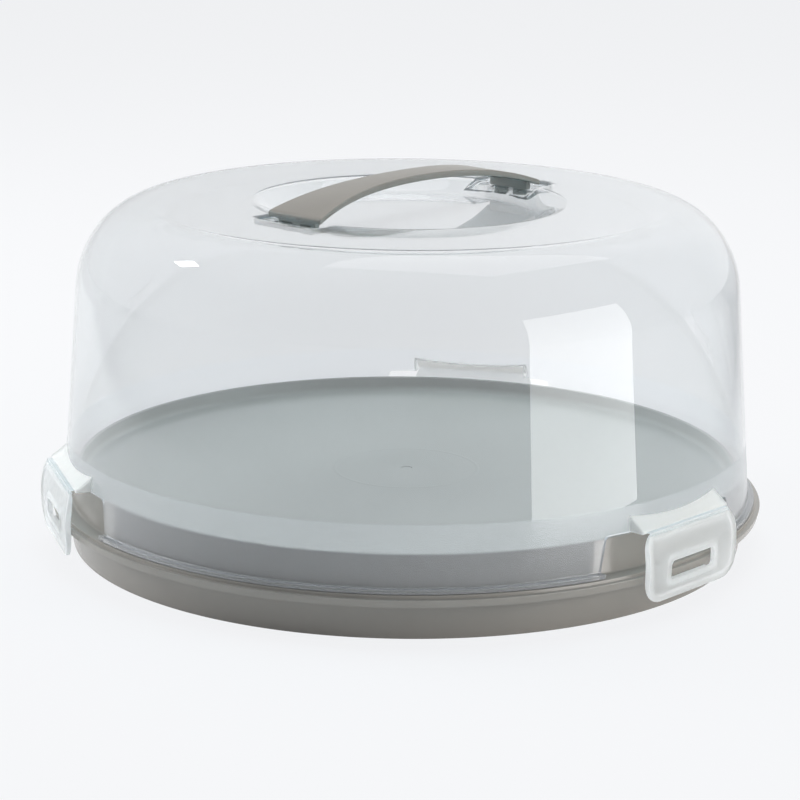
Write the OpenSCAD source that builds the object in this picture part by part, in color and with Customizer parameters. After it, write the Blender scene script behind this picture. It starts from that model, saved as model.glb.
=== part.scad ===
// Round cake carrier: a tray, a clear lift-off hood with a carrying handle,
// and three clip flaps on film hinges that hook under the tray's flange.
// Origin: on the axis, at the level the tray stands on. +Z up, clip_front towards -Y,
// handle along X. All lengths in millimetres.

/* [Tray] */
// Outer radius of the tray's flange
flange_r = 172.5; // [160:0.5:190]
// How far the tray's foot stays inside the flange's edge
skirt_inset = 9.8; // [9:0.1:22]
// Height of the flange's top face
flange_top = 22.3; // [20:0.1:30]
// Height of the flange's turned-down edge
flange_edge_h = 5; // [4:0.1:7]
// Width of the low step round the flange's edge
flange_step_w = 2.2; // [1.5:0.1:3]
// Depth of that step
flange_step_h = 1.4; // [0.6:0.1:2]
// Wall thickness of the tray
tray_wall = 2.2; // [1.8:0.1:3]
// Height of the raised rim above the flange's top face
rim_h = 15.6; // [12:0.1:16.5]
// Width of the raised rim's top
rim_w = 2; // [1.6:0.1:3]
// Depth of the plate below the rim's top
plate_depth = 6.7; // [4:0.1:8]
// Slope of the raised wall, in degrees from upright
rim_draft = 9; // [4:0.5:10]
// Radius of the ring rib under the plate
ring_r = 35; // [20:1:60]
// Height of the ring rib
ring_h = 4; // [2:0.5:6]
// Thickness of the ring rib
ring_t = 1.8; // [1.4:0.1:2.4]
// Radius of the gate mark in the middle of the plate
gate_r = 3; // [2:0.5:5]

/* [Hood] */
// Wall thickness of the hood
hood_wall = 1.7; // [1.4:0.1:2.2]
// How far the hood's lip stays inside the flange's edge
lip_inset = 3; // [2.8:0.1:5]
// How far the lip stands out from the hood's wall
lip_w = 2.9; // [2:0.1:3.5]
// Thickness of the lip
lip_h = 2; // [1.4:0.1:3]
// Height of the straight wall above the lip
wall_h = 101.5; // [70:0.1:160]
// Draft of the straight wall, in degrees
wall_draft = 4.36; // [2:0.02:6]
// Radius of the lower part of the shoulder
shoulder_r1 = 45.5; // [40:0.5:50]
// Radius of the upper part of the shoulder
shoulder_r2 = 35.5; // [30:0.5:40]
// Where the two shoulder radii meet, in degrees from level
shoulder_turn = 39.7; // [35:0.1:45]
// Where the shoulder meets the flat crown, in degrees from level
shoulder_end = 81.8; // [78:0.1:88]
// Radius of the dish in the crown, at its rim
dish_r = 73; // [66:0.5:80]
// Depth of the dish
dish_depth = 6.8; // [4:0.1:12]
// How far the dish's wall leans in
dish_lean = 9; // [6:0.5:12]
// Radius of the rounded rim and foot of the dish's wall
dish_round = 2.5; // [1.5:0.1:3]

/* [Handle] */
// Length of the handle
handle_l = 156; // [150:1:160]
// Width of the handle at its ends
handle_end_w = 34; // [28:0.5:36]
// Width of the handle at its middle
handle_mid_w = 16.4; // [14:0.2:24]
// Thickness of the strap
strap_t = 2.7; // [2.2:0.1:4]
// How much thicker the strap is at its middle than at its ends
strap_swell = 0.8; // [0:0.1:1.5]
// Rise of the arch over its ends
handle_rise = 10.9; // [9:0.1:20]
// Fullness added to the arch's haunches
handle_haunch = 4; // [0:0.1:5]
// Length of each foot along the handle
foot_l = 3.5; // [3.5:0.5:8]
// Width of each foot
foot_w = 24; // [20:0.5:29]
// Distance from the handle's end to its foot
foot_inset = 1.5; // [1:0.1:4]
// Depth of the bay in the crown that each foot stands in
bay_depth = 2.4; // [2:0.1:4]
// How much deeper the bay runs out into the dish
bay_fall = 2.1; // [0:0.1:3]
// Length of the bay's sloping part, beside the dish
bay_ramp = 7; // [4:0.5:10]
// Length of the bay past the handle's end
bay_past = 6.8; // [4:0.1:8]
// Width of the bay
bay_w = 38; // [35:0.5:40]
// Width of each snap tongue
tongue_w = 7; // [5:0.5:9]
// Thickness of each snap tongue
tongue_t = 2; // [1.6:0.1:2.4]
// How far the barb of a snap tongue stands out
barb = 0.8; // [0.5:0.1:1]

/* [Clips] */
// Width of a clip flap
flap_w = 65; // [60:0.2:72]
// Height of the hinge above the flange's top face
hinge_up = 18.3; // [17:0.1:20]
// How far a flap reaches below the flange's edge
flap_down = 8.9; // [7:0.1:12]
// Thickness of the flap at its fullest
flap_t = 2.8; // [2.4:0.1:4]
// Radius of the flap's outer face above its fullest part
bulge_r_up = 40; // [36:1:60]
// Radius of the flap's outer face below its fullest part
bulge_r_down = 110; // [80:1:140]
// Height of the fullest part above the flange's top face
bulge_up = 2.7; // [1:0.1:4]
// Corner radius of the flap
flap_corner = 10; // [7:0.5:11]
// Width of the raised border round the flap
border_w = 3.4; // [2.5:0.1:5]
// Depth of the field inside the border
field_depth = 0.6; // [0.3:0.1:0.8]
// Width of the window in the flap
window_w = 32; // [22:0.5:34]
// Height of the window
window_h = 8.7; // [7.5:0.1:10]
// Corner radius of the window
window_corner = 1.6; // [0.8:0.1:2.5]
// Width of the raised frame round the window
frame_w = 3.2; // [2:0.1:4]
// How far the catch reaches under the flange
catch_bite = 1.5; // [1:0.1:1.8]
// Width of the catch
catch_w = 26; // [18:0.5:30]
// Width of the roof that carries a flap
roof_w = 63; // [56:0.5:66]
// How far the roof runs back through the collar
roof_bury = 6; // [5:0.5:9]
// Slope of the roof, in degrees below level
roof_slope = 37; // [32:0.5:42]
// Thickness of the roof and its cheeks
roof_t = 1.6; // [1.2:0.1:2]
// Half angle of the collar's notch at its top
notch_top_a = 15.5; // [14:0.1:18]
// Half angle of the collar's notch at its bottom
notch_foot_a = 16.9; // [15:0.1:20]
// Radius of the film hinge's bead
bead_r = 0.5; // [0.4:0.05:0.7]
// Thickness of the film that holds the bead
film_t = 0.4; // [0.3:0.05:0.5]

/* [Clearances] */
// Clearance between the hood's lip and the flange
seat_gap = 0.2; // [0.1:0.05:0.5]
// Clearance between the flap and the flange's edge, beside the window
flap_gap = 0.35; // [0.25:0.05:0.6]
// Clearance between the catch and the flange's lower edge
catch_gap = 0.3; // [0.2:0.05:0.5]
// Running clearance round a hinge bead
bead_gap = 0.06; // [0.04:0.01:0.1]
// Clearance between the foot and the bay, and round the snap tongues
foot_gap = 0.3; // [0.2:0.05:0.5]

/* [Hidden] */
clip_turns = [0, 120, 240];
revolve_fn = 180;
arc_steps = 9;
round_steps = 5;
fine_fn = 48;
over = 1;

taupe = [0.50, 0.47, 0.44];
satin_taupe = [0.63, 0.61, 0.58];
clear_tint = [0.84, 0.87, 0.89, 0.45];
milky = [0.88, 0.90, 0.91, 0.7];

// Heights and radii of the tray
foot_r = flange_r - skirt_inset;
flange_under = flange_top - flange_edge_h;
rim_top = flange_top + rim_h;
plate_top = rim_top - plate_depth;
plate_under = plate_top - tray_wall;
// Heights and radii of the hood
lip_under = flange_top + seat_gap;
lip_r = flange_r - lip_inset;
wall_foot_z = lip_under + lip_h;
wall_foot_r = lip_r - lip_w;
shoulder_z = wall_foot_z + wall_h;
shoulder_start_r = wall_r(shoulder_z);
centre1 = [shoulder_start_r - shoulder_r1 * cos(wall_draft), shoulder_z - shoulder_r1 * sin(wall_draft)];
centre2 = centre1 + (shoulder_r1 - shoulder_r2) * [cos(shoulder_turn), sin(shoulder_turn)];
crown_edge = centre2 + shoulder_r2 * [cos(shoulder_end), sin(shoulder_end)];
crown_z = crown_edge[1];
dish_z = crown_z - dish_depth;
bay_z = crown_z - bay_depth;
// The raised rim stands a fixed way inside the hood's wall
rim_foot_r = wall_foot_r - hood_wall - 1.9;
rim_r = rim_foot_r - rim_h * tan(rim_draft);
// Places of the clip parts, measured outwards from the axis
flap_in = sqrt(pow(flange_r, 2) - pow(window_w / 2, 2)) + flap_gap;
flap_out = flap_in + flap_t;
hinge_out = flap_in - 0.6;
hinge_z = flange_top + hinge_up;
bulge_z = flange_top + bulge_up;
flap_bottom = flange_under - flap_down;
window_foot = flange_under - catch_gap;
window_top = window_foot + window_h;
notch_top = hinge_z - 0.4;
knuckle_in = bead_r + bead_gap;
knuckle_out = knuckle_in + 0.75;
roof_end = hinge_out - knuckle_out - 0.55;
roof_inner = wall_foot_r * cos(notch_foot_a) - roof_bury;
hinge_half_w = flap_w / 2 - flap_corner
    + sqrt(pow(flap_corner, 2) - pow(flap_corner - 2.4, 2)) - 0.2;
// Places of the handle's parts
handle_half = handle_l / 2;
foot_out = handle_half - foot_inset;
foot_in = foot_out - foot_l;

// Outer radius of the hood's straight wall at a height
function wall_r(z) = wall_foot_r - (z - wall_foot_z) * tan(wall_draft);

// Points along an arc, from angle a0 to a1
function arc(c, r, a0, a1, n) = [for (i = [0:n]) c + r * [cos(a0 + (a1 - a0) * i / n), sin(a0 + (a1 - a0) * i / n)]];

// Height of the handle's top face above its ends, at a share k of the half length
function arch(k) = handle_rise * (1 - k * k) + handle_haunch * (k * k - pow(k, 4));

// Outline of the hood's outside, from the lip up to the axis, taken in by t
function shoulder(t) = concat(
    arc(centre1, shoulder_r1 - t, wall_draft, shoulder_turn, arc_steps),
    arc(centre2, shoulder_r2 - t, shoulder_turn, shoulder_end, arc_steps));

// The dish's wall, from its rim to its floor, taken in by t
function dish_side(t) = let (lean = atan2(dish_lean, dish_depth),
                             top = [dish_r + t * tan(lean / 2), crown_z - t],
                             foot = [dish_r - dish_lean + t * tan(lean / 2), dish_z - t])
    [top + [dish_round, 0], top + dish_round * 0.45 * [-sin(lean) / 2 + 0.2, -0.12],
     top + dish_round * [-sin(lean), -cos(lean)],
     foot + dish_round * [sin(lean), cos(lean)], foot + dish_round * [0.12, 0.08], foot - [dish_round, 0]];

// A rectangle with round corners, centred on x, from y = y0 to y1
module rounded(w, y0, y1, r) {
    translate([-w / 2 + r, y0]) square([w - 2 * r, y1 - y0]);
    translate([-w / 2, y0 + r]) square([w, y1 - y0 - 2 * r]);
    for (x = [-w / 2 + r, w / 2 - r], y = [y0 + r, y1 - r]) translate([x, y]) circle(r, $fn = fine_fn);
}

// Runs a profile drawn as [outward, up] along a clip's width, on the -Y side
module along_clip(w) {
    rotate([90, 0, -90]) translate([0, 0, -w / 2]) linear_extrude(w) children();
}

// Runs an outline drawn as [across, up] outwards, on the -Y side
module through_clip(y0, y1) {
    translate([0, -y0, 0]) rotate([90, 0, 0]) linear_extrude(y1 - y0) children();
}

module tray_profile() {
    skirt_top_r = foot_r + 2.6;
    polygon(concat(
        [[0, plate_top], [rim_r - rim_w - 3.4, plate_top]],
        arc([rim_r - rim_w - 3.4, plate_top + 3], 3, -90, -12, round_steps),
        arc([rim_r - rim_w / 2, rim_top - rim_w / 2], rim_w / 2, 180, 10, round_steps),
        [[rim_foot_r - 0.2, flange_top + 1.4], [rim_foot_r + 1.2, flange_top],
         [flange_r - flange_step_w - 0.4, flange_top], [flange_r - flange_step_w, flange_top - 0.4],
         [flange_r - flange_step_w, flange_top - flange_step_h]],
        arc([flange_r - 0.8, flange_top - flange_step_h - 0.8], 0.8, 90, 0, round_steps),
        [[flange_r, flange_under + 0.5], [flange_r - 0.5, flange_under],
         [flange_r - tray_wall, flange_under], [flange_r - tray_wall, flange_top - tray_wall - 1],
         [flange_r - tray_wall - 1, flange_top - tray_wall],
         [skirt_top_r + 1, flange_top - tray_wall], [skirt_top_r, flange_top - tray_wall - 1.2],
         [foot_r, 0.5], [foot_r - 0.5, 0], [foot_r - tray_wall, 0],
         [skirt_top_r - tray_wall, flange_top - tray_wall - 0.6],
         [rim_foot_r - tray_wall, flange_top - tray_wall],
         [rim_r - rim_w - 1.6, plate_under], [0, plate_under]]));
}

module base_tray() {
    color(taupe) {
        difference() {
            rotate_extrude($fn = revolve_fn) tray_profile();
            translate([0, 0, plate_top - 0.3]) cylinder(r = gate_r, h = over, $fn = fine_fn);
        }
        translate([0, 0, plate_under - ring_h]) difference() {
            cylinder(r = ring_r + ring_t / 2, h = ring_h + 0.1, $fn = revolve_fn);
            translate([0, 0, -over]) cylinder(r = ring_r - ring_t / 2, h = ring_h + 2 * over, $fn = revolve_fn);
        }
    }
}

module hood_outside() {
    rotate_extrude($fn = revolve_fn) polygon(concat(
        [[0, lip_under], [lip_r - 0.4, lip_under], [lip_r, lip_under + 0.4],
         [lip_r, lip_under + lip_h - 0.6], [lip_r - 0.6, lip_under + lip_h],
         [wall_foot_r + 0.6, wall_foot_z], [wall_r(wall_foot_z + 0.8), wall_foot_z + 0.8]],
        shoulder(0), dish_side(0), [[0, dish_z]]));
}

module hood_inside() {
    wall_in = hood_wall / cos(wall_draft);
    rotate_extrude($fn = revolve_fn) polygon(concat(
        [[0, lip_under - over], [wall_r(lip_under - over) - wall_in, lip_under - over]],
        shoulder(hood_wall), dish_side(hood_wall), [[0, dish_z - hood_wall]]));
}

// The bay that takes one foot of the handle, grown by t all round.
// Its floor is level under the foot and slopes down towards the dish.
module bay(t) {
    half = bay_w / 2 + t;
    far = handle_half + bay_past + t;
    near = dish_r - 2 * dish_lean + t;
    r = 4 + t;
    top = crown_z + over;
    intersection() {
        translate([0, 0, bay_z - bay_fall - t - over]) linear_extrude(bay_depth + bay_fall + t + 3 * over) {
            translate([near, -half]) square([far - near - r, 2 * half]);
            translate([near, -half + r]) square([far - near, 2 * half - 2 * r]);
            for (y = [-half + r, half - r]) translate([far - r, y]) circle(r, $fn = fine_fn);
        }
        translate([0, bay_w, 0]) rotate([90, 0, 0]) linear_extrude(2 * bay_w)
            polygon([[near, bay_z - bay_fall - t], [foot_in - bay_ramp, bay_z - bay_fall - t],
                [foot_in, bay_z - t], [far + over, bay_z - t], [far + over, top], [near, top]]);
    }
}

// The slots in a bay's floor for the snap tongues
module tongue_slots() {
    inward = (tongue_t + barb) / 2;
    for (y = [-foot_w / 4, foot_w / 4])
        translate([foot_out - inward, y, bay_z - hood_wall / 2])
            cube([tongue_t + barb + 2 * foot_gap, tongue_w + 2 * foot_gap, 2 * hood_wall], center = true);
}

// One clip's roof on the collar: a sloping shelf with a cheek at each side
module clip_roof() {
    line_z = hinge_z + film_t / 2 + roof_t / 2;
    rise = (roof_end - roof_inner) * tan(roof_slope);
    drop = roof_t / cos(roof_slope);
    difference() {
        along_clip(roof_w) polygon([[roof_inner, notch_top], [roof_end, notch_top],
            [roof_end, line_z], [roof_inner, line_z + rise]]);
        along_clip(roof_w - 2 * roof_t) polygon([[roof_inner - over, notch_top - over],
            [roof_end - 0.4, notch_top - over], [roof_end - 0.4, line_z - drop + 0.4 * tan(roof_slope)],
            [roof_inner - over, line_z + rise - drop + over * tan(roof_slope)]]);
    }
}

// The cut in the collar under one roof
module clip_notch() {
    top_half = wall_r(notch_top) * sin(notch_top_a);
    foot_half = wall_r(lip_under) * sin(notch_foot_a);
    through_clip(roof_inner - 2 * roof_bury, lip_r + over)
        polygon([[-foot_half, lip_under - over], [foot_half, lip_under - over],
            [top_half, notch_top - 2.5], [top_half - 2.5, notch_top],
            [2.5 - top_half, notch_top], [-top_half, notch_top - 2.5]]);
}

module hood() {
    color(clear_tint) difference() {
        union() {
            hood_outside();
            for (a = clip_turns) rotate(a) clip_roof();
        }
        difference() {
            hood_inside();
            for (a = [0, 180]) rotate(a) bay(hood_wall);
        }
        for (a = clip_turns) rotate(a) clip_notch();
        for (a = [0, 180]) rotate(a) {
            bay(0);
            tongue_slots();
        }
    }
}

// The handle's strap, curved in side view and waisted in plan
module strap() {
    waist = (handle_end_w - handle_mid_w) / 2;
    waist_r = (pow(handle_half, 2) + waist * waist) / (2 * waist);
    steps = 28;
    top = [for (i = [0:steps]) let (k = 2 * i / steps - 1) [k * handle_half, crown_z + strap_t + arch(k)]];
    under = [for (i = [steps:-1:0]) let (k = 2 * i / steps - 1)
        [k * handle_half, crown_z + arch(k) - strap_swell * (1 - k * k)]];
    difference() {
        translate([0, handle_end_w / 2, 0]) rotate([90, 0, 0])
            linear_extrude(handle_end_w) polygon(concat(top, under));
        for (side = [-1, 1]) translate([0, side * (handle_mid_w / 2 + waist_r), crown_z - over])
            cylinder(r = waist_r, h = handle_rise + strap_t + handle_haunch + 2 * over, $fn = 360);
    }
}

// One foot under the handle's end, with two snap tongues
module handle_foot() {
    roomy_z = crown_z + handle_rise + handle_haunch + 2 * strap_t;
    difference() {
        translate([foot_in, -foot_w / 2, bay_z])
            cube([foot_l, foot_w, bay_depth + arch(foot_in / handle_half) + strap_t]);
        translate([0, foot_w, 0]) rotate([90, 0, 0]) linear_extrude(2 * foot_w)
            polygon(concat([for (i = [0:6]) let (x = foot_in - 1 + (foot_l + 2) * i / 6)
                [x, crown_z + arch(x / handle_half) + strap_t / 2]],
                [[foot_out + over, roomy_z], [foot_in - over, roomy_z]]));
    }
    catch_z = bay_z - hood_wall - foot_gap;
    for (y = [-foot_w / 4, foot_w / 4])
        translate([foot_out, y + tongue_w / 2, 0]) rotate([90, 0, 0]) linear_extrude(tongue_w)
            polygon([[0, bay_z + 1], [0, catch_z], [barb, catch_z], [barb, catch_z - 0.7],
                [-0.4, catch_z - 2.7], [-tongue_t, catch_z - 2.7], [-tongue_t, bay_z + 1]]);
}

module handle() {
    color(satin_taupe) {
        strap();
        for (a = [0, 180]) rotate(a) handle_foot();
    }
}

// The thin web at the roof's edge and the bead that the flap turns on
module film_hinge() {
    along_clip(2 * hinge_half_w) {
        translate([hinge_out, hinge_z]) circle(bead_r, $fn = fine_fn);
        polygon([[roof_end, hinge_z + bead_r], [roof_end, hinge_z + bead_r - film_t],
            [hinge_out, hinge_z + bead_r - film_t - 0.1], [hinge_out, hinge_z + bead_r - 0.05]]);
    }
}

// The rolled top edge of a flap, open towards the roof
module knuckle_profile() {
    translate([hinge_out, hinge_z]) difference() {
        circle(knuckle_out, $fn = fine_fn);
        polygon([[0, 0], 4 * [cos(-32), sin(-32)], [4, 4], [-4, 4], [-4, -4], 4 * [cos(-140), sin(-140)]]);
    }
}

// The flap's section, bulged outwards, with its outer face lowered by t
module flap_profile(t) {
    top = hinge_z - 0.6 * knuckle_out;
    difference() {
        union() {
            intersection() {
                translate([flap_out - bulge_r_up - t, bulge_z]) circle(bulge_r_up, $fn = 360);
                polygon([[flap_in, bulge_z], [flap_out, bulge_z], [flap_out, top], [hinge_out - 0.6, top],
                    [hinge_out - 0.6, top - 1.5], [flap_in, bulge_z + 2]]);
            }
            intersection() {
                translate([flap_out - bulge_r_down - t, bulge_z]) circle(bulge_r_down, $fn = 360);
                translate([flap_in, flap_bottom]) square([flap_t, bulge_z - flap_bottom]);
            }
            knuckle_profile();
        }
        translate([hinge_out, hinge_z]) circle(knuckle_in, $fn = fine_fn);
    }
}

module clip_flap() {
    flap_top = hinge_z + 2.4;
    color(milky) difference() {
        union() {
            intersection() {
                along_clip(flap_w + over) flap_profile(field_depth);
                through_clip(hinge_out - 5, flap_out + over) rounded(flap_w, flap_bottom, flap_top, flap_corner);
            }
            difference() {
                intersection() {
                    along_clip(flap_w + over) flap_profile(0);
                    through_clip(hinge_out - 5, flap_out + over)
                        rounded(flap_w, flap_bottom, flap_top, flap_corner);
                }
                through_clip(hinge_out - 6, flap_out + 2 * over)
                    rounded(flap_w - 2 * border_w, flap_bottom + border_w, flap_top + over,
                        flap_corner - border_w / 2);
            }
            intersection() {
                along_clip(flap_w + over) flap_profile(0);
                through_clip(hinge_out - 5, flap_out + over)
                    rounded(window_w + 2 * frame_w, window_foot - frame_w, window_top + frame_w,
                        window_corner + frame_w);
            }
            along_clip(catch_w) polygon([[flap_in + 0.2, window_foot], [flange_r - catch_bite, window_foot],
                [flange_r - catch_bite, window_foot - 1.4], [flap_in + 0.2, window_foot - 3.6]]);
        }
        through_clip(hinge_out - 6, flap_out + 2 * over) rounded(window_w, window_foot, window_top, window_corner);
    }
}

module clip(i) { rotate(clip_turns[i]) clip_flap(); }
module hinge(i) { rotate(clip_turns[i]) color(milky) film_hinge(); }

base_tray();
hood();
handle();
hinge(0);  // film_hinge_front
hinge(1);  // film_hinge_right
hinge(2);  // film_hinge_left
clip(0);  // clip_front
clip(1);  // clip_right
clip(2);  // clip_left
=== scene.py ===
import math

import bmesh
import bpy
from mathutils import Matrix, Vector


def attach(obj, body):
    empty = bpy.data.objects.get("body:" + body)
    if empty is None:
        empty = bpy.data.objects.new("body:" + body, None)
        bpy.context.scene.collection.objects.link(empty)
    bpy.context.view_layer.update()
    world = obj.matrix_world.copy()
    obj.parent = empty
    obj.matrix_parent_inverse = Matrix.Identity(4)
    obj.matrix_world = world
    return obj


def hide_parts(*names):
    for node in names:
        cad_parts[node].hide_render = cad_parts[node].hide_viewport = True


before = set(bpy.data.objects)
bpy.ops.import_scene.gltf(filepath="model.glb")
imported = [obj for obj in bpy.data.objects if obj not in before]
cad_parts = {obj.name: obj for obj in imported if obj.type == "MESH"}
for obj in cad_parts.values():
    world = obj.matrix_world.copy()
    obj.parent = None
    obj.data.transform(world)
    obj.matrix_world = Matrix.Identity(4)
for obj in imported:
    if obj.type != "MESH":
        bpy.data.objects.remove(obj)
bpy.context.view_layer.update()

scene = bpy.context.scene
MM = 0.001
SEGMENTS = 256

# Sizes of the real object, in millimetres. They follow the CAD source, with softer details

# The tray: plate, gate mark, ring over the rib, raised rim, flange with its step, skirt and foot
PLATE_TOP = 31.2
PLATE_UNDER = 29
PLATE_R = 157.5
GATE_R = 3
GATE_DEPTH = 0.3
RING_R = 35
RING_HALF = 1.2
RING_RISE = 0.12
RIB_HALF = 0.9
RIB_FOOT = 25
PLATE_UNDER_R = 157.0
UNDER_R = 160.8
RIM_TOP = 37.9
RIM_IN_R = 158.5
RIM_OUT_R = 160.5
RIM_FOOT_R = 163.0
FLANGE_TOP = 22.3
FLANGE_R = 172.5
FLANGE_LEAN = 0.9
FLANGE_UNDER = 17.3
STEP_Z = 20.9
STEP_R = 170.3
SKIRT_TOP = 20.1
SKIRT_TOP_R = 165.5
SKIRT_IN_R = 163.1
TRAY_FOOT_R = 162.7
TRAY_FOOT_IN_R = 160.5

# The hood's wall, shoulder, crown and dish
LIP_UNDER = 22.5
LIP_R = 169.5
WALL_FOOT_R = 166.6
WALL_FOOT_Z = 24.5
WALL_DRAFT = 4.36
HOOD_WALL = 1.7
FROST_Z = 52
WALL_RINGS = [40, 46, FROST_Z, 58, 70, 85, 100, 115]
SHOULDER_Z = 126.0
SHOULDER_R1 = 45.5
SHOULDER_R2 = 35.5
SHOULDER_TURN = 39.7
SHOULDER_END = 81.8
SHOULDER_EASE = 72
DISH_R = 73
DISH_DEPTH = 6.8
DISH_LEAN = 9
DISH_EDGE = 3
DISH_RINGS = (55, 51, 46, 40, 30)

# The handle, its feet and tongues, and the bays that they stand in
HANDLE_HALF = 78
HANDLE_END_W = 34
HANDLE_MID_W = 16.4
STRAP_T = 2.7
STRAP_SWELL = 0.8
HANDLE_RISE = 10.9
HANDLE_HAUNCH = 4
STRAP_STEPS = 90
FOOT_L = 3.5
FOOT_W = 24
FOOT_INSET = 1.5
FOOT_GAP = 0.3
TONGUE_W = 7
TONGUE_T = 2
TONGUE_DROP = 2.7
BARB = 0.8
BARB_T = 0.7
BAY_DEPTH = 2.4
BAY_FALL = 2.1
BAY_RAMP = 7
BAY_PAST = 6.8
BAY_W = 38

# The clip flaps with their windows, catches and rolled tops, and the roofs and notches round them
FLAP_IN = 172.106
FLAP_T = 2.8
FLAP_HALF_W = 32.5
FLAP_BOTTOM = 8.4
FLAP_CORNER = 10
FLAP_CORNER_Z = 33.0
BULGE_Z = 25.0
BULGE_UP = 40
BULGE_DOWN = 110
BORDER_W = 3.4
FIELD_DEPTH = 0.6
WINDOW_W = 32
WINDOW_LOW = 17.0
WINDOW_HIGH = 25.7
WINDOW_CORNER = 2.3
FRAME_W = 3.2
CATCH_TOP = 17.0
CATCH_TIP_Z = 15.6
CATCH_FOOT = 13.4
CATCH_R = 171.0
CATCH_HALF_W = 13
HINGE_OUT = 171.506
HINGE_Z = 40.6
BEAD_SPACE = 0.56
KNUCKLE_OUT = 1.31
ROLL_START = -140
ROLL_END = -32
ROLL_HALF_W = 29
ROOF_HALF_W = 31.5
ROOF_SLOPE = 37
ROOF_T = 1.6
ROOF_END = 169.646
ROOF_INNER = 153.4
ROOF_EDGE_Z = HINGE_Z + 1.0
ROOF_TOP = 56
NOTCH_TOP = 40.2
NOTCH_TOP_A = 15.5
NOTCH_FOOT_A = 16.9
NOTCH_CORNER = 2.5
CLIPS = {"front": 0, "right": 120, "left": 240}


# Lines and outlines

def rad(a):
    return math.radians(a)


def arc(cx, cy, r, a0, a1, n):
    """Points along an arc, from angle a0 to a1 in degrees."""
    return [
        (cx + r * math.cos(rad(a0 + (a1 - a0) * i / n)), cy + r * math.sin(rad(a0 + (a1 - a0) * i / n)))
        for i in range(n + 1)
    ]


def along(a, b, n):
    """n points from a towards b, without b."""
    return [(a[0] + (b[0] - a[0]) * i / n, a[1] + (b[1] - a[1]) * i / n) for i in range(n)]


def between(a, b, t):
    """The loop that lies the share t of the way from loop a to loop b."""
    return [(p[0] + (q[0] - p[0]) * t, p[1] + (q[1] - p[1]) * t) for p, q in zip(a, b)]


def ease(t):
    """A share from 0 to 1 that starts and ends gently."""
    return t * t * (3 - 2 * t)


def soften(points, n=4):
    """Replaces each corner (x, y, radius) of an open line by a round of that radius."""
    out = []
    last = len(points) - 1
    for i, (x, y, r) in enumerate(points):
        if r == 0 or i in (0, last):
            out.append((x, y))
            continue
        corner = Vector((x, y))
        before = (Vector(points[i - 1][:2]) - corner).normalized()
        after = (Vector(points[i + 1][:2]) - corner).normalized()
        half = before.angle(after) / 2
        reach = r / math.tan(half)
        centre = corner + (before + after).normalized() * (r / math.sin(half))
        a = corner + before * reach - centre
        b = corner + after * reach - centre
        sweep = a.angle_signed(b)
        for k in range(n + 1):
            turn = Matrix.Rotation(-sweep * k / n, 2)
            p = centre + turn @ a
            out.append((p.x, p.y))
    return out


def offset(line, t):
    """The line moved sideways by t, to the right of its direction."""
    out = []
    for i, (x, y) in enumerate(line):
        a = Vector(line[max(i - 1, 0)])
        b = Vector(line[min(i + 1, len(line) - 1)])
        d = (b - a).normalized()
        out.append((x + d.y * t, y - d.x * t))
    return out


def round_rect(x0, x1, y0, y1, r, n):
    """A rectangle with round corners of n steps each, anticlockwise from its lower right corner."""
    corners = ((x1 - r, y0 + r, -90), (x1 - r, y1 - r, 0), (x0 + r, y1 - r, 90), (x0 + r, y0 + r, 180))
    pts = []
    for cx, cy, start in corners:
        pts += arc(cx, cy, r, start, start + 90, n)
    return pts


# Meshes

def add_mesh(name, verts, faces, material=None, sharp=35):
    """A new object from points in millimetres, shaded smooth with sharp edges kept."""
    mesh = bpy.data.meshes.new(name)
    mesh.from_pydata([(x * MM, y * MM, z * MM) for x, y, z in verts], [], faces)
    mesh.validate()
    if material:
        mesh.materials.append(material)
    mesh.shade_smooth()
    mesh.set_sharp_from_angle(angle=rad(sharp))
    obj = bpy.data.objects.new(name, mesh)
    scene.collection.objects.link(obj)
    return obj


def lathe(name, profile, material=None, sharp=35):
    """A solid of revolution from an open profile of (radius, height) whose ends lie on the axis."""
    inner = profile[1:-1]
    verts = [(0, 0, profile[0][1]), (0, 0, profile[-1][1])]
    for r, z in inner:
        for i in range(SEGMENTS):
            a = 2 * math.pi * i / SEGMENTS
            verts.append((r * math.cos(a), r * math.sin(a), z))
    faces = []
    for i in range(SEGMENTS):
        j = (i + 1) % SEGMENTS
        faces.append((0, 2 + j, 2 + i))
        for k in range(len(inner) - 1):
            low, high = 2 + k * SEGMENTS, 2 + (k + 1) * SEGMENTS
            faces.append((low + i, low + j, high + j, high + i))
        top = 2 + (len(inner) - 1) * SEGMENTS
        faces.append((1, top + i, top + j))
    return add_mesh(name, verts, faces, material, sharp)


def loft(name, loops, closed=False, material=None):
    """Skins a row of loops with equal point counts. closed joins last to first, else the ends are capped."""
    n = len(loops[0])
    verts = [p for loop in loops for p in loop]
    faces = []
    rows = len(loops)
    for k in range(rows if closed else rows - 1):
        low, high = k * n, ((k + 1) % rows) * n
        for i in range(n):
            j = (i + 1) % n
            faces.append((low + i, low + j, high + j, high + i))
    if not closed:
        faces.append(tuple(reversed(range(n))))
        faces.append(tuple(range((rows - 1) * n, rows * n)))
    return add_mesh(name, verts, faces, material)


def prism(name, outline, to_point, low, high, material=None):
    """An outline of (a, b) pairs run from low to high; to_point(a, b, c) gives the place."""
    loops = [[to_point(a, b, c) for a, b in outline] for c in (low, high)]
    return loft(name, loops, material=material)


def face_out(obj):
    """Turns every face of a closed mesh outwards."""
    bm = bmesh.new()
    bm.from_mesh(obj.data)
    bmesh.ops.recalc_face_normals(bm, faces=bm.faces)
    bm.to_mesh(obj.data)
    bm.free()


def bake_modifiers(obj):
    """Puts an object's modifiers into its mesh."""
    bpy.context.view_layer.update()
    graph = bpy.context.evaluated_depsgraph_get()
    mesh = bpy.data.meshes.new_from_object(obj.evaluated_get(graph))
    obj.modifiers.clear()
    obj.data = mesh


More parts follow.
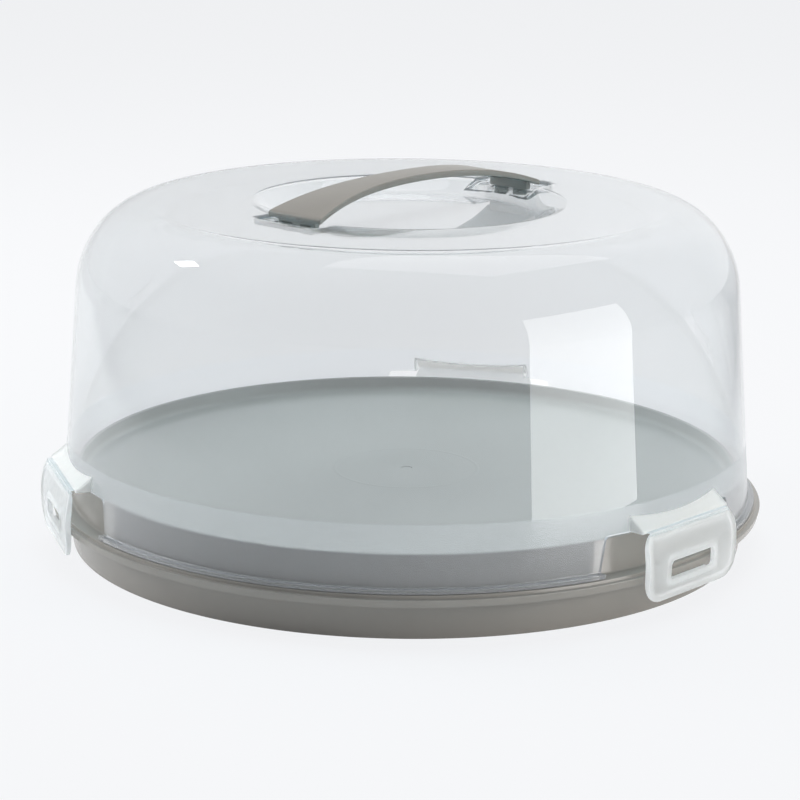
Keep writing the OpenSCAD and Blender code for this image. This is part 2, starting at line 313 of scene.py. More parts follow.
def combine(obj, steps):
    """Runs boolean steps, each (operation, tool object), and removes the tools."""
    face_out(obj)
    for operation, tool in steps:
        face_out(tool)
        m = obj.modifiers.new(tool.name, "BOOLEAN")
        m.operation = operation
        m.solver = "EXACT"
        m.object = tool
    bake_modifiers(obj)
    for _, tool in steps:
        bpy.data.objects.remove(tool)


def bevel(obj, width, segments):
    """Rounds an object's edges of 30 degrees and more."""
    m = obj.modifiers.new("edges", "BEVEL")
    m.width = width * MM
    m.segments = segments
    m.limit_method = "ANGLE"
    m.angle_limit = rad(30)
    bake_modifiers(obj)
    return obj


def join(name, objs):
    """Joins objects into one piece, in the first one's material."""
    verts, faces = [], []
    for o in objs:
        base = len(verts)
        verts += [tuple(c / MM for c in v.co) for v in o.data.vertices]
        faces += [tuple(base + i for i in p.vertices) for p in o.data.polygons]
    made = add_mesh(name, verts, faces, objs[0].data.materials[0])
    for o in objs:
        bpy.data.objects.remove(o)
    face_out(made)
    return made


def turned(obj, degrees):
    """The object turned round the carrier's axis, in its mesh."""
    obj.data.transform(Matrix.Rotation(rad(degrees), 4, "Z"))
    return obj


# Materials

def new_material(name):
    mat = bpy.data.materials.new(name)
    mat.use_nodes = True
    nodes = mat.node_tree.nodes
    return mat, nodes, mat.node_tree.links, nodes["Principled BSDF"]


def object_coords(nodes):
    return nodes.new("ShaderNodeTexCoord").outputs["Object"]


def value_node(nodes, links, operation, *values):
    """A maths node whose inputs are numbers or other nodes' outputs."""
    made = nodes.new("ShaderNodeMath")
    made.operation = operation
    for i, value in enumerate(values):
        if isinstance(value, (int, float)):
            made.inputs[i].default_value = value
        else:
            links.new(value, made.inputs[i])
    return made.outputs["Value"]


def map_range(nodes, links, value, low, high, at_low=0.0, at_high=1.0, smooth=False):
    """A value mapped from low..high to at_low..at_high, evenly or with gentle ends."""
    m = nodes.new("ShaderNodeMapRange")
    if smooth:
        m.interpolation_type = "SMOOTHSTEP"
    m.inputs["From Min"].default_value = low
    m.inputs["From Max"].default_value = high
    m.inputs["To Min"].default_value = at_low
    m.inputs["To Max"].default_value = at_high
    links.new(value, m.inputs["Value"])
    return m.outputs["Result"]


def mixed(nodes, links, share, color, other):
    """A colour output with the other plain colour mixed in by the given share."""
    mix = nodes.new("ShaderNodeMix")
    mix.data_type = "RGBA"
    links.new(share, mix.inputs[0])
    links.new(color, mix.inputs[6])
    mix.inputs[7].default_value = (*other, 1)
    return mix.outputs[2]


def noise(nodes, links, coords, scale, detail):
    n = nodes.new("ShaderNodeTexNoise")
    n.inputs["Scale"].default_value = scale
    n.inputs["Detail"].default_value = detail
    n.inputs["Roughness"].default_value = 0.6
    links.new(coords, n.inputs["Vector"])
    return n.outputs["Fac"]


def spread(nodes, links, value, low, high):
    """Maps 0.3..0.7, where noise mostly lies, to low..high."""
    return map_range(nodes, links, value, 0.3, 0.7, low, high)


def two_tone(nodes, links, value, dark, light):
    ramp = nodes.new("ShaderNodeValToRGB")
    first, second = ramp.color_ramp.elements
    first.position, second.position = 0.3, 0.7
    first.color, second.color = (*dark, 1), (*light, 1)
    links.new(value, ramp.inputs["Fac"])
    return ramp.outputs["Color"]


def bump(nodes, links, height, shader, strength):
    b = nodes.new("ShaderNodeBump")
    b.inputs["Strength"].default_value = strength
    b.inputs["Distance"].default_value = 0.0001
    links.new(height, b.inputs["Height"])
    links.new(b.outputs["Normal"], shader.inputs["Normal"])


def opaque_plastic(name, dark, light, rough, grain_scale, grain, metallic=0.0):
    """Coloured plastic with faint clouds of tone and a fine grain."""
    mat, nodes, links, shader = new_material(name)
    coords = object_coords(nodes)
    clouds = noise(nodes, links, coords, 18.0, 3.0)
    links.new(two_tone(nodes, links, clouds, dark, light), shader.inputs["Base Color"])
    fine = noise(nodes, links, coords, grain_scale, 2.0)
    links.new(spread(nodes, links, fine, rough - 0.015, rough + 0.015), shader.inputs["Roughness"])
    bump(nodes, links, fine, shader, grain)
    shader.inputs["Metallic"].default_value = metallic
    shader.inputs["IOR"].default_value = 1.49
    return mat


def see_through(name, tint, clear, rough, grain_scale, lets_light):
    """Clear, frosted or milky plastic. Lamps and bounced light pass it straight, as through a thin sheet."""
    mat, nodes, links, shader = new_material(name)
    shader.inputs["Base Color"].default_value = (*tint, 1)
    shader.inputs["Transmission Weight"].default_value = clear
    shader.inputs["IOR"].default_value = 1.49
    fine = noise(nodes, links, object_coords(nodes), grain_scale, 2.0)
    links.new(spread(nodes, links, fine, rough * 0.8, rough * 1.2), shader.inputs["Roughness"])
    path = nodes.new("ShaderNodeLightPath").outputs
    passing = value_node(nodes, links, "MAXIMUM", path["Is Shadow Ray"], path["Is Diffuse Ray"])
    straight = nodes.new("ShaderNodeBsdfTransparent")
    straight.inputs["Color"].default_value = (*lets_light, 1)
    mix = nodes.new("ShaderNodeMixShader")
    links.new(passing, mix.inputs["Fac"])
    links.new(shader.outputs["BSDF"], mix.inputs[1])
    links.new(straight.outputs["BSDF"], mix.inputs[2])
    links.new(mix.outputs["Shader"], nodes["Material Output"].inputs["Surface"])
    return mat


taupe = opaque_plastic("taupe_plastic", (0.196, 0.187, 0.170), (0.211, 0.201, 0.183), 0.24, 900.0, 0.01)
satin = opaque_plastic("handle_satin", (0.176, 0.168, 0.152), (0.194, 0.185, 0.167), 0.34, 1800.0, 0.1, 0.25)
clear = see_through("clear_plastic", (0.894, 0.897, 0.902), 0.962, 0.015, 60.0, (0.84, 0.94, 0.98))
frosted = see_through("frosted_plastic", (0.95, 0.96, 0.975), 0.915, 0.2, 300.0, (0.5, 0.52, 0.54))
milky = see_through("milky_plastic", (0.86, 0.878, 0.882), 0.83, 0.5, 300.0, (0.84, 0.85, 0.85))
milky_thin = see_through("milky_thin", (0.86, 0.88, 0.886), 0.90, 0.45, 300.0, (0.88, 0.89, 0.89))
milky_roof = see_through("milky_roof", (0.90, 0.893, 0.876), 0.75, 0.5, 300.0, (0.84, 0.85, 0.85))


# The tray

def make_tray():
    """The tray's line runs out over the plate, round the flange, down the skirt and back underneath."""
    gate_z = PLATE_TOP - GATE_DEPTH
    plate = [
        (0, gate_z, 0), (GATE_R - GATE_DEPTH, gate_z, 0.2), (GATE_R, PLATE_TOP, 0.2),
        (RING_R - RING_HALF, PLATE_TOP, 1), (RING_R, PLATE_TOP + RING_RISE, 1),
        (RING_R + RING_HALF, PLATE_TOP, 1),
        (PLATE_R, PLATE_TOP, 3), (RIM_IN_R, RIM_TOP, 0.8), (RIM_OUT_R, RIM_TOP, 0.9),
    ]
    flange = [
        (RIM_FOOT_R, FLANGE_TOP, 1.2), (STEP_R - 0.1, FLANGE_TOP, 0.3), (STEP_R, STEP_Z, 0.3),
        (FLANGE_R, STEP_Z, 0.25), (FLANGE_R - FLANGE_LEAN, FLANGE_UNDER, 0.3),
        (STEP_R, FLANGE_UNDER, 0.4), (STEP_R, SKIRT_TOP, 1),
    ]
    skirt = [
        (SKIRT_TOP_R, SKIRT_TOP, 1), (TRAY_FOOT_R, 0, 0.6), (TRAY_FOOT_IN_R, 0, 0.4),
        (SKIRT_IN_R, SKIRT_TOP, 0.6), (UNDER_R, SKIRT_TOP, 0.6), (PLATE_UNDER_R, PLATE_UNDER, 1.5),
    ]
    rib = [
        (RING_R + RIB_HALF, PLATE_UNDER, 0.5), (RING_R + RIB_HALF, RIB_FOOT, 0.5),
        (RING_R - RIB_HALF, RIB_FOOT, 0.5), (RING_R - RIB_HALF, PLATE_UNDER, 0.5), (0, PLATE_UNDER, 0),
    ]
    tray = lathe("tray", soften(plate + flange + skirt + rib), taupe, sharp=50)
    face_out(tray)
    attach(tray, "base")
    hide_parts("base_tray")


# The hood

def wall_r(z):
    """The wall's outer radius at a height."""
    return WALL_FOOT_R - (z - WALL_FOOT_Z) * math.tan(rad(WALL_DRAFT))


def crown_line():
    """The hood's outer line from the top of its straight wall to the axis, and the crown's height."""
    r0 = wall_r(SHOULDER_Z)
    c1 = (r0 - SHOULDER_R1 * math.cos(rad(WALL_DRAFT)), SHOULDER_Z - SHOULDER_R1 * math.sin(rad(WALL_DRAFT)))
    step = SHOULDER_R1 - SHOULDER_R2
    c2 = (c1[0] + step * math.cos(rad(SHOULDER_TURN)), c1[1] + step * math.sin(rad(SHOULDER_TURN)))
    line = arc(*c1, SHOULDER_R1, WALL_DRAFT, SHOULDER_TURN, 14)
    line += arc(*c2, SHOULDER_R2, SHOULDER_TURN, SHOULDER_EASE, 16)[1:]
    top = c2[1] + SHOULDER_R2 * math.sin(rad(SHOULDER_END))
    r, z = line[-1]
    width = 2 * (top - z) * math.tan(rad(SHOULDER_EASE))
    steps = 6
    line += [(r - width * i / steps, top - (top - z) * (1 - i / steps) ** 2) for i in range(1, steps + 1)]
    flat = line[-1][0]
    dish_out = DISH_R + DISH_EDGE
    steps = 13
    line += [(flat + (dish_out - flat) * i / steps, top) for i in range(1, steps + 1)]
    run = DISH_LEAN + 7
    steps = 18
    line += [(dish_out - run * i / steps, top - DISH_DEPTH * ease(i / steps)) for i in range(1, steps + 1)]
    line += [(r, top - DISH_DEPTH) for r in DISH_RINGS]
    return line, top


CROWN, CROWN_Z = crown_line()
DISH_Z = CROWN_Z - DISH_DEPTH
BAY_Z = CROWN_Z - BAY_DEPTH


def bay_floor(x):
    """Height of a bay's floor: level under the foot, sloping down towards the dish."""
    foot_in = HANDLE_HALF - FOOT_INSET - FOOT_L
    return BAY_Z - BAY_FALL * ease(min(max((foot_in + 1 - x) / (BAY_RAMP + 2), 0), 1))


def bay_outline(grow, inset):
    """The bay's plan, open side towards the axis, taken in by inset."""
    half = BAY_W / 2 + grow - inset
    far = HANDLE_HALF + BAY_PAST + grow - inset
    near = DISH_R - DISH_LEAN - 8
    r = max(min(4.0 + grow - inset, half - 0.1), 0.2) if inset < 3.5 else 0.2
    side = [(near + (far - r - near) * i / 16, -half) for i in range(16)]
    side += arc(far - r, -half + r, r, -90, 0, 6)
    return side + [(x, -y) for x, y in reversed(side)]


def bay(name, grow):
    """The bay in the crown for one of the handle's feet, with rounded foot and softly flared mouth."""
    half = BAY_W / 2 + grow
    rows = [(inset, 0.0, None) for inset in (half - 0.3, 14.0, 9.0, 5.0)]
    if grow:
        rows += [(0.0, 0.0, None), (0.0, None, CROWN_Z + 4)]
    else:
        rows += [(2.0 - dx, dz, None) for dx, dz in arc(0, 2, 2, -90, -15, 5)]
        mouth = ((0.05, -1.5), (-0.3, -0.8), (-0.9, -0.28), (-1.8, 0.0), (-2.6, 1.5))
        rows += [(inset, None, CROWN_Z + dz) for inset, dz in mouth]
    loops = []
    for inset, rise, z in rows:
        outline = bay_outline(grow, inset)
        loops.append([(x, y, bay_floor(x) - grow + rise if z is None else z) for x, y in outline])
    return loft(name, loops)


def clip_point(s, o, z):
    """A place on the front clip: s across, o outwards from the axis, z up."""
    return (s, -o, z)


def clip_section(o, z, s):
    """The same place, for an outline drawn in section and run across the clip."""
    return clip_point(s, o, z)


def clip_face(s, z, o):
    """The same place, for an outline drawn on the clip's face and run outwards."""
    return clip_point(s, o, z)


def roof(name):
    """One clip's roof as a solid wedge."""
    high = ROOF_EDGE_Z + (ROOF_END - ROOF_INNER) * math.tan(rad(ROOF_SLOPE))
    outline = [(ROOF_INNER, NOTCH_TOP), (ROOF_END, NOTCH_TOP), (ROOF_END, ROOF_EDGE_Z), (ROOF_INNER, high)]
    return bevel(prism(name, outline, clip_section, -ROOF_HALF_W, ROOF_HALF_W), 0.7, 3)


def roof_hollow(name):
    """The space under one clip's roof, open at its foot and towards the axis."""
    inner = ROOF_INNER - 3
    end = ROOF_END - 1.2
    foot = NOTCH_TOP - 3
    under = ROOF_EDGE_Z - ROOF_T / math.cos(rad(ROOF_SLOPE))
    slope = math.tan(rad(ROOF_SLOPE))
    outline = [
        (inner, foot), (end, foot), (end, under + (ROOF_END - end) * slope),
        (inner, under + (ROOF_END - inner) * slope),
    ]
    return prism(name, outline, clip_section, -ROOF_HALF_W + ROOF_T, ROOF_HALF_W - ROOF_T)


def notch(name):
    """The notch in the collar behind one clip."""
    top = wall_r(NOTCH_TOP) * math.sin(rad(NOTCH_TOP_A))
    foot = wall_r(LIP_UNDER) * math.sin(rad(NOTCH_FOOT_A))
    low = LIP_UNDER - 2
    outline = soften([
        (0, low, 0), (foot, low, 0), (foot, LIP_UNDER, 0), (top, NOTCH_TOP, NOTCH_CORNER),
        (-top, NOTCH_TOP, NOTCH_CORNER), (-foot, LIP_UNDER, 0), (-foot, low, 0), (0, low, 0),
    ], 6)[1:-1]
    return prism(name, outline, clip_face, ROOF_INNER - 10, LIP_R + 3)


def hood_zone(place, normal):
    """Which of the hood's materials a face has: 0 clear, 1 frosted collar, 2 milky clip roof."""
    for angle in CLIPS.values():
        back = Matrix.Rotation(-rad(angle), 3, "Z")
        spot, facing = back @ place, back @ normal
        beside = abs(spot.x) < ROOF_HALF_W + 0.3 and spot.y < -ROOF_INNER + 4
        if not beside or not NOTCH_TOP - 0.2 < place.z < ROOF_TOP:
            continue
        cheek = abs(facing.x) > 0.9 and abs(spot.x) > ROOF_HALF_W - ROOF_T - 0.3
        slope = abs(facing.z) > 0.6 and place.z > NOTCH_TOP + 0.2
        if cheek or slope or -spot.y > wall_r(place.z) + 0.25:
            return 2
    return 1 if place.z < FROST_Z else 0


def make_hood():
    """The hood's shell with its roofs, notches and bays cut and joined, in its three materials."""
    thick = HOOD_WALL / math.cos(rad(WALL_DRAFT))
    low = LIP_UNDER - 2
    outer = soften([
        (0, LIP_UNDER, 0), (LIP_R, LIP_UNDER, 0.2), (LIP_R, WALL_FOOT_Z, 0.3),
        (wall_r(WALL_FOOT_Z), WALL_FOOT_Z, 0.8), (wall_r(WALL_RINGS[0]), WALL_RINGS[0], 0),
    ])
    outer += [(wall_r(z), z) for z in WALL_RINGS[1:]] + CROWN + [(0, DISH_Z)]
    inner = [(0, low), (wall_r(low) - thick, low)]
    inner += [(wall_r(z) - thick, z) for z in WALL_RINGS]
    inner += [(max(r, 20), z) for r, z in offset(CROWN, -HOOD_WALL)] + [(0, DISH_Z - HOOD_WALL)]
    shell = lathe("hood_shell", outer)
    hollow = lathe("hood_hollow", inner)
    combine(hollow, [("DIFFERENCE", turned(bay(f"bay_block_{a}", HOOD_WALL), a)) for a in (0, 180)])
    work = [("UNION", turned(roof(f"roof_{n}"), a)) for n, a in CLIPS.items()]
    work += [("DIFFERENCE", turned(roof_hollow(f"roof_hollow_{n}"), a)) for n, a in CLIPS.items()]
    work.append(("DIFFERENCE", hollow))
    work += [("DIFFERENCE", turned(notch(f"notch_{n}"), a)) for n, a in CLIPS.items()]
    work += [("DIFFERENCE", turned(bay(f"bay_{a}", 0), a)) for a in (0, 180)]
    combine(shell, work)
    mesh = shell.data
    mesh.materials.clear()
    for material in (clear, frosted, milky_roof):
        mesh.materials.append(material)
    for p in mesh.polygons:
        p.material_index = hood_zone(p.center / MM, p.normal)
    mesh.shade_smooth()
    mesh.set_sharp_from_angle(angle=rad(28))
    weighted = shell.modifiers.new("even_shading", "WEIGHTED_NORMAL")
    weighted.keep_sharp = True
    weighted.weight = 80
    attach(shell, "hood")
    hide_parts("hood")


# The handle

def arch(x):
    """Height of the strap's underside over the crown."""
    k = abs(x) / HANDLE_HALF
    return HANDLE_RISE * (1 - k * k) + HANDLE_HAUNCH * (k * k - k ** 4)


def make_strap():
    """The waisted strap, skinned over sections along it, each (place, how far it is drawn in)."""
    ends = [(0, 0.9), (0.15, 0.45), (0.5, 0.15), (1.1, 0)]
    span = HANDLE_HALF - 2.4
    stations = [(-HANDLE_HALF + e, inset) for e, inset in ends]
    stations += [(-span + 2 * span * i / STRAP_STEPS, 0) for i in range(STRAP_STEPS + 1)]
    stations += [(HANDLE_HALF - e, inset) for e, inset in reversed(ends)]
    loops = []
    for x, inset in stations:
        k = x / HANDLE_HALF
        half = (HANDLE_MID_W + (HANDLE_END_W - HANDLE_MID_W) * k * k) / 2 - inset * 0.8
        low = CROWN_Z + arch(x) - STRAP_SWELL * (1 - k * k) + inset * 0.6
        high = CROWN_Z + arch(x) + STRAP_T - inset
        loop = []
        for y, z in round_rect(-half, half, low, high, min(0.5, (high - low) * 0.45), 4):
            crown = 0.2 * (y / half) ** 2 if z > (low + high) / 2 else 0
            loop.append((x, y, z - crown))
        loops.append(loop)
    return loft("handle_strap", loops, material=satin)


def foot_and_tongues(side):
    """The foot under one end of the strap, with its two snap tongues."""
    x1 = HANDLE_HALF - FOOT_INSET
    x0 = x1 - FOOT_L
    y1 = FOOT_W / 2
    rows = []
    for inset, z in ((0, None), (0, 0.5), (0.15, 0.15), (0.5, 0.0)):
        ring = round_rect(x0 + inset, x1 - inset, -y1 + inset, y1 - inset, max(0.8 - inset, 0.3), 3)
        loop = []
        for x, y in ring:
            loop.append((side * x, side * y, CROWN_Z + arch(x) + 1.2 if z is None else BAY_Z + z))
        rows.append(loop)
    parts = [loft(f"foot_{side}", rows, material=satin)]
    root = BAY_Z + 1
    barb_top = BAY_Z - HOOD_WALL - FOOT_GAP
    tip = barb_top - TONGUE_DROP
    section = [
        (x1, root), (x1, barb_top), (x1 + BARB, barb_top), (x1 + BARB, barb_top - BARB_T), (x1 - 0.4, tip),
        (x1 - TONGUE_T, tip), (x1 - TONGUE_T, root),
    ]
    for y in (-FOOT_W / 4, FOOT_W / 4):
        parts.append(prism(f"tongue_{side}_{y}", section, lambda x, z, across: (side * x, across, z),
                           y - TONGUE_W / 2, y + TONGUE_W / 2, satin))
    return parts


def make_handle():
    parts = [make_strap()] + foot_and_tongues(1) + foot_and_tongues(-1)
    handle = join("handle_strap_and_feet", parts)
    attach(handle, "hood")
    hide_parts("handle")


# The clips

def flap_out(z):
    """How far out the flap's bowed front lies at a height."""
    r = BULGE_UP if z > BULGE_Z else BULGE_DOWN
    return FLAP_IN + FLAP_T - r + math.sqrt(r * r - (z - BULGE_Z) ** 2)


def flap_in(z):
    """How far out the flap's back lies at a height."""
    low, high = BULGE_Z + 2, HINGE_Z - 2.29
    back = HINGE_OUT - 0.6
    if z <= low:
        return FLAP_IN
    if z >= high:
        return back
    return FLAP_IN + (back - FLAP_IN) * (z - low) / (high - low)


def mirrored_loop(left, bottom):
    """A closed loop from its left side, run downwards, and its bottom. The right side mirrors the left."""
    right = [(-x, y) for x, y in reversed(left)]
    x, y = right[-1]
    return left + bottom + right + along((x, y), (-x, y), 24)[1:]


def outline_loop(inset):
    """The flap's outline taken in by inset, less at the top, as points of (across, up)."""
    r = FLAP_CORNER - inset
    cx = FLAP_HALF_W - FLAP_CORNER
    top = HINGE_Z - 0.76 - 0.55 * inset
    a = math.degrees(math.asin(min((top - FLAP_CORNER_Z) / r, 0.96)))
    low = FLAP_BOTTOM + FLAP_CORNER
    left = arc(-cx, FLAP_CORNER_Z, r, 180 - a, 180, 6)
    left += along((-cx - r, FLAP_CORNER_Z), (-cx - r, low), 10)[1:]
    left += arc(-cx, low, r, 180, 270, 8)
    return mirrored_loop(left, along((-cx, low - r), (cx, low - r), 24)[1:])


def window_loop(grow):
    """The window's outline grown by grow, with points to match the flap's outline."""
    half = WINDOW_W / 2 + grow
    low, high = WINDOW_LOW - grow, WINDOW_HIGH + grow
    r = WINDOW_CORNER + 0.8 * grow
    left = arc(-half + r, high - r, r, 90, 180, 6)
    left += along((-half, high - r), (-half, low + r), 10)[1:]
    left += arc(-half + r, low + r, r, 180, 270, 8)
    return mirrored_loop(left, along((-half + r, low), (half - r, low), 24)[1:])


def flap_rows():
    """The flap's loops from its back's rim over the border, field and frame, through the window and back.

    Each is (loop, which side it lies on, how far it is lifted off that side)."""
    edge = outline_loop
    field, ring = edge(BORDER_W + 0.6), window_loop(FRAME_W)
    hole, rim = window_loop(0.3), edge(0.35)
    rows = [(rim, "in", 0), (edge(0.1), "in", 0.12), (edge(0), "in", 0.4)]
    rows += [(edge(0), "out", -0.55), (edge(0.12), "out", -0.22), (edge(0.4), "out", -0.05)]
    rows += [(edge(0.8), "out", 0), (edge(BORDER_W - 0.9), "out", 0), (edge(BORDER_W - 0.4), "out", -0.12)]
    rows += [(edge(BORDER_W + 0.1), "out", 0.12 - FIELD_DEPTH), (field, "out", -FIELD_DEPTH)]
    rows += [(between(field, ring, t), "out", -FIELD_DEPTH) for t in (0.2, 0.4, 0.6, 0.8, 0.93)]
    rows += [(window_loop(FRAME_W - 0.1), "out", -FIELD_DEPTH + 0.06)]
    rows += [(window_loop(FRAME_W - 0.6), "out", -0.12)]
    rows += [(window_loop(FRAME_W - 1.1), "out", 0.0), (window_loop(1.1), "out", 0.0)]
    rows += [(window_loop(0.35), "out", -0.2), (window_loop(0), "out", -0.6)]
    rows += [(window_loop(0), "in", 0.3), (hole, "in", 0)]
    rows += [(between(hole, rim, t), "in", 0) for t in (0.25, 0.5, 0.75)]
    return rows


def flap_surface(side, z):
    """How far out the flap's back or front lies. The front keeps a least thickness off the back."""
    if side == "in":
        return max(flap_in(z), 0)
    return max(flap_out(z), flap_in(z) + 0.45)


def in_field(place, normal):
    """Whether a face of the front flap lies in its thin recessed field."""
    across, up = abs(place.x) / MM, place.z / MM
    within = across < FLAP_HALF_W - BORDER_W - 0.3 and FLAP_BOTTOM + BORDER_W + 0.3 < up < HINGE_Z - 4.5
    beside = across < WINDOW_W / 2 + FRAME_W - 0.4
    level = WINDOW_LOW - FRAME_W + 0.4 < up < WINDOW_HIGH + FRAME_W - 0.4
    return within and not (beside and level) and abs(normal.y) > 0.8


def make_clip(name, angle):
    """One flap with its rolled top and catch, made at the front and turned to its place."""
    loops = []
    for points, side, lift in flap_rows():
        loops.append([clip_point(s, flap_surface(side, z) + lift, z) for s, z in points])
    flap = loft(f"flap_{name}", loops, closed=True, material=milky)
    c_outer = arc(HINGE_OUT, HINGE_Z, KNUCKLE_OUT, ROLL_START, ROLL_END, 12)
    c_inner = arc(HINGE_OUT, HINGE_Z, BEAD_SPACE, ROLL_END, ROLL_START, 12)
    roll = prism(f"roll_{name}", c_outer + c_inner, clip_section, -ROLL_HALF_W, ROLL_HALF_W)
    root = FLAP_IN + 0.2
    hook = [(root, CATCH_TOP), (CATCH_R, CATCH_TOP), (CATCH_R, CATCH_TIP_Z), (root, CATCH_FOOT)]
    catch = bevel(prism(f"catch_{name}", hook, clip_section, -CATCH_HALF_W, CATCH_HALF_W), 0.2, 2)
    whole = join(f"clip_flap_{name}", [flap, roll, catch])
    whole.data.materials.append(milky_thin)
    for p in whole.data.polygons:
        if in_field(p.center, p.normal):
            p.material_index = 1
    turned(whole, angle)
    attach(whole, f"clip_{name}")
    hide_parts(f"clip_{name}")


make_tray()
make_hood()
make_handle()
for clip_name, clip_angle in CLIPS.items():
    make_clip(clip_name, clip_angle)
    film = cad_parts[f"film_hinge_{clip_name}"]
    film.data.materials.clear()
    film.data.materials.append(milky)


# Floor, background, lamps and camera

# The backdrop's colour, and the share of it that each direction has in reflections. Directions are in
# degrees round the axis, from straight ahead of the camera, to the right.
BACKDROP = (0.892, 0.9, 0.917)
FLOOR_SIDES = (
    (-179, 1.0), (-120, 0.78), (-74, 0.38), (-48, 0.8), (-20, 1.0),
    (20, 1.0), (47, 0.4), (74, 1.0), (179, 1.0),
)
SKY_SIDES = (
    (-179, 0.72), (-74, 0.45), (-30, 0.7), (0, 0.75), (5, 0.98),
    (25, 1.0), (50, 0.6), (90, 0.7), (179, 0.75),
)
SKY_ABOVE = 0.8
THROUGH_GLASS = (0.98, 0.99, 1.0)
VIEW_TURN = 47.7

# The part of the floor that the picture shows, in metres: half its width beside the axis, what it gains
# for each metre ahead, how far left of the axis its middle lies, and how far past it the shades set in
VIEW_HALF = 0.339
VIEW_SPREAD = 0.154
VIEW_SHIFT = 0.15
FADE_FROM, FADE_TO = 0.03, 0.18

# The floor's radius, in millimetres
FLOOR_R = 9000


def pale_for_sight(nodes, links, plain, output):
    """Shows the pale backdrop to sight, mirrors and glass, and the plain shader to everything else."""
    path = nodes.new("ShaderNodeLightPath").outputs
    first = value_node(nodes, links, "MAXIMUM", path["Is Camera Ray"], path["Is Glossy Ray"])
    second = value_node(nodes, links, "MAXIMUM", first, path["Is Transmission Ray"])
    mix = nodes.new("ShaderNodeMixShader")
    links.new(second, mix.inputs["Fac"])
    links.new(plain, mix.inputs[1])
    links.new(mix.outputs["Shader"], output)
    return mix


def surround(nodes, links, coords, sides):
    """The pale backdrop's colour, each direction with its share of it, and the place as right and ahead."""
    turn = nodes.new("ShaderNodeVectorRotate")
    turn.rotation_type = "Z_AXIS"
    turn.inputs["Angle"].default_value = rad(VIEW_TURN)
    links.new(coords, turn.inputs["Vector"])
    parts = nodes.new("ShaderNodeSeparateXYZ")
    links.new(turn.outputs["Vector"], parts.inputs["Vector"])
    right, ahead = parts.outputs["X"], parts.outputs["Y"]
    heading = value_node(nodes, links, "ARCTAN2", right, ahead)
    ramp = nodes.new("ShaderNodeValToRGB")
    stops = ramp.color_ramp.elements
    for degrees, share in sides:
        spot = stops.new((degrees + 180) / 360)
        spot.color = (*[c * share for c in BACKDROP], 1)
    stops.remove(stops[0])
    stops.remove(stops[len(stops) - 1])
    links.new(map_range(nodes, links, heading, -math.pi, math.pi), ramp.inputs["Fac"])
    return ramp.outputs["Color"], right, ahead


def far_floor(nodes, links):
    """The floor's colour to sight: pale in the picture, past it each side's own shade in reflections."""
    shade, right, ahead = surround(nodes, links, object_coords(nodes), FLOOR_SIDES)
    edge = value_node(nodes, links, "MULTIPLY_ADD", ahead, VIEW_SPREAD, VIEW_HALF)
    side = value_node(nodes, links, "ABSOLUTE", value_node(nodes, links, "ADD", right, VIEW_SHIFT))
    past = value_node(nodes, links, "SUBTRACT", side, edge)
    reach = map_range(nodes, links, past, FADE_FROM, FADE_TO, smooth=True)
    seen = nodes.new("ShaderNodeLightPath").outputs["Is Camera Ray"]
    shaded = value_node(nodes, links, "SUBTRACT", reach, seen)
    return mixed(nodes, links, value_node(nodes, links, "SUBTRACT", 1, shaded), shade, BACKDROP)


def make_world():
    """Soft light from all round. To sight it is the backdrop, and to mirrors a studio with darker sides."""
    world = bpy.data.worlds.new("studio")
    scene.world = world
    world.use_nodes = True
    nodes, links = world.node_tree.nodes, world.node_tree.links
    light = nodes["Background"]
    light.inputs["Color"].default_value = (0.95, 0.97, 1.0, 1)
    light.inputs["Strength"].default_value = 0.32
    heading = nodes.new("ShaderNodeTexCoord").outputs["Generated"]
    parts = nodes.new("ShaderNodeSeparateXYZ")
    links.new(heading, parts.inputs["Vector"])
    steep = map_range(nodes, links, parts.outputs["Z"], 0.6, 0.9, smooth=True)
    path = nodes.new("ShaderNodeLightPath").outputs
    color = surround(nodes, links, heading, SKY_SIDES)[0]
    color = mixed(nodes, links, steep, color, [c * SKY_ABOVE for c in BACKDROP])
    color = mixed(nodes, links, path["Is Transmission Ray"], color, THROUGH_GLASS)
    color = mixed(nodes, links, path["Is Camera Ray"], color, BACKDROP)
    sight = nodes.new("ShaderNodeBackground")
    links.new(color, sight.inputs["Color"])
    mix = pale_for_sight(nodes, links, light.outputs["Background"], nodes["World Output"].inputs["Surface"])
    links.new(sight.outputs["Background"], mix.inputs[2])


def make_floor():
    """A round floor that keeps the carrier's shadow, and to sight is nearly all backdrop."""
    rim = [(FLOOR_R * math.cos(rad(a)), FLOOR_R * math.sin(rad(a)), 0) for a in range(0, 360, 5)]
    faces = [(0, 1 + i, 1 + (i + 1) % len(rim)) for i in range(len(rim))]
    mat, nodes, links, shader = new_material("pale_floor")
    shader.inputs["Base Color"].default_value = (0.86, 0.87, 0.88, 1)
    shader.inputs["Roughness"].default_value = 0.9
    glow = nodes.new("ShaderNodeEmission")
    links.new(far_floor(nodes, links), glow.inputs["Color"])
    soft = nodes.new("ShaderNodeMixShader")
    soft.inputs["Fac"].default_value = 0.95
    links.new(shader.outputs["BSDF"], soft.inputs[1])
    links.new(glow.outputs["Emission"], soft.inputs[2])
    mix = pale_for_sight(nodes, links, shader.outputs["BSDF"], nodes["Material Output"].inputs["Surface"])
    links.new(soft.outputs["Shader"], mix.inputs[2])
    floor = add_mesh("floor", [(0, 0, 0)] + rim, faces, mat)


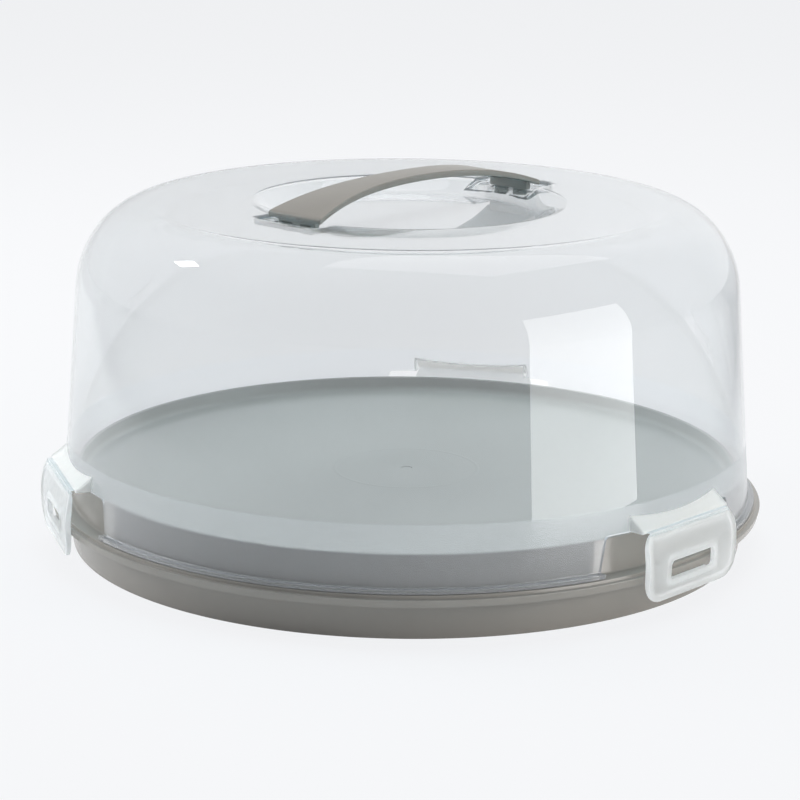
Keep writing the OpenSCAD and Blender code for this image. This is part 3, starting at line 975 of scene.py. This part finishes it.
def lamp(name, side, height, distance, width, tall, glow, aim=80, face=None, mirrored=True):
    """A flat softbox, placed by its angle to the right of the camera's side, its height and its distance.

    glow is its brightness beside white. It faces the height aim on the axis, or level along face."""
    a = rad(side - VIEW_TURN)
    data = bpy.data.lights.new(name, "AREA")
    data.shape = "RECTANGLE"
    data.size = width * MM
    data.size_y = tall * MM
    data.energy = glow * math.pi * data.size * data.size_y
    obj = bpy.data.objects.new(name, data)
    obj.location = Vector((distance * math.sin(a), -distance * math.cos(a), height)) * MM
    look = Vector((0, 0, aim)) * MM - obj.location
    if face is not None:
        b = rad(face - VIEW_TURN)
        look = Vector((-math.sin(b), math.cos(b), 0))
    obj.rotation_euler = look.to_track_quat("-Z", "Y").to_euler()
    obj.visible_transmission = False
    obj.visible_glossy = mirrored
    scene.collection.objects.link(obj)
    return obj


def fade_up(data, low, high, at_low, at_high):
    """Makes a lamp's glow change evenly with height, from at_low at low metres to at_high at high metres."""
    data.use_nodes = True
    nodes, links = data.node_tree.nodes, data.node_tree.links
    parts = nodes.new("ShaderNodeSeparateXYZ")
    links.new(nodes.new("ShaderNodeNewGeometry").outputs["Position"], parts.inputs["Vector"])
    share = map_range(nodes, links, parts.outputs["Z"], low, high, at_low, at_high)
    links.new(share, nodes["Emission"].inputs["Strength"])


def make_lamps():
    strip = lamp("right_softbox", 49, 146, 427, 250, 288, 3.3, aim=146, face=54.8)
    fade_up(strip.data, 0.02, 0.26, 1.55, 0.92)
    strip.visible_diffuse = False
    warm = lamp("right_fill", 72, 420, 1300, 600, 600, 12.0, mirrored=False)
    warm.data.color = (1.0, 0.965, 0.92)
    lamp("top_softbox", 154.7, 1500, 525, 950, 950, 0.9)
    lamp("left_fill", -110, 500, 1300, 700, 700, 16.5, mirrored=False)
    lamp("overhead", 165, 1500, 600, 1100, 1100, 8.0, mirrored=False)
    lamp("low_front", 18, 130, 1500, 1500, 240, 2.1, aim=20, mirrored=False)
    lamp("left_spot", -108.8, 1144, 1141, 170, 170, 21)


def make_camera():
    """The camera fitted to the photograph. Its distances are in millimetres, its turns in radians."""
    back, height = 1229.106, 379.969
    pan, tilt, roll = -0.002748, 0.250628, 0.0094786
    turn = Matrix.Rotation(-rad(VIEW_TURN), 3, "Z")
    ahead = Vector((math.sin(pan) * math.cos(tilt), math.cos(pan) * math.cos(tilt), -math.sin(tilt)))
    level = Vector((math.cos(pan), -math.sin(pan), 0))
    over = level.cross(ahead)
    right = math.cos(roll) * level + math.sin(roll) * over
    up = -math.sin(roll) * level + math.cos(roll) * over
    right, up, ahead = turn @ right, turn @ up, turn @ ahead
    place = turn @ (Vector((0, -back, height)) * MM)
    data = bpy.data.cameras.new("camera")
    data.sensor_width = 36
    data.lens = 117.108
    data.clip_start, data.clip_end = 0.05, 30
    cam = bpy.data.objects.new("camera", data)
    cam.matrix_world = Matrix((
        (right.x, up.x, -ahead.x, place.x),
        (right.y, up.y, -ahead.y, place.y),
        (right.z, up.z, -ahead.z, place.z),
        (0, 0, 0, 1),
    ))
    scene.collection.objects.link(cam)
    scene.camera = cam


make_world()
make_floor()
make_lamps()
make_camera()
scene.view_settings.view_transform = "Standard"
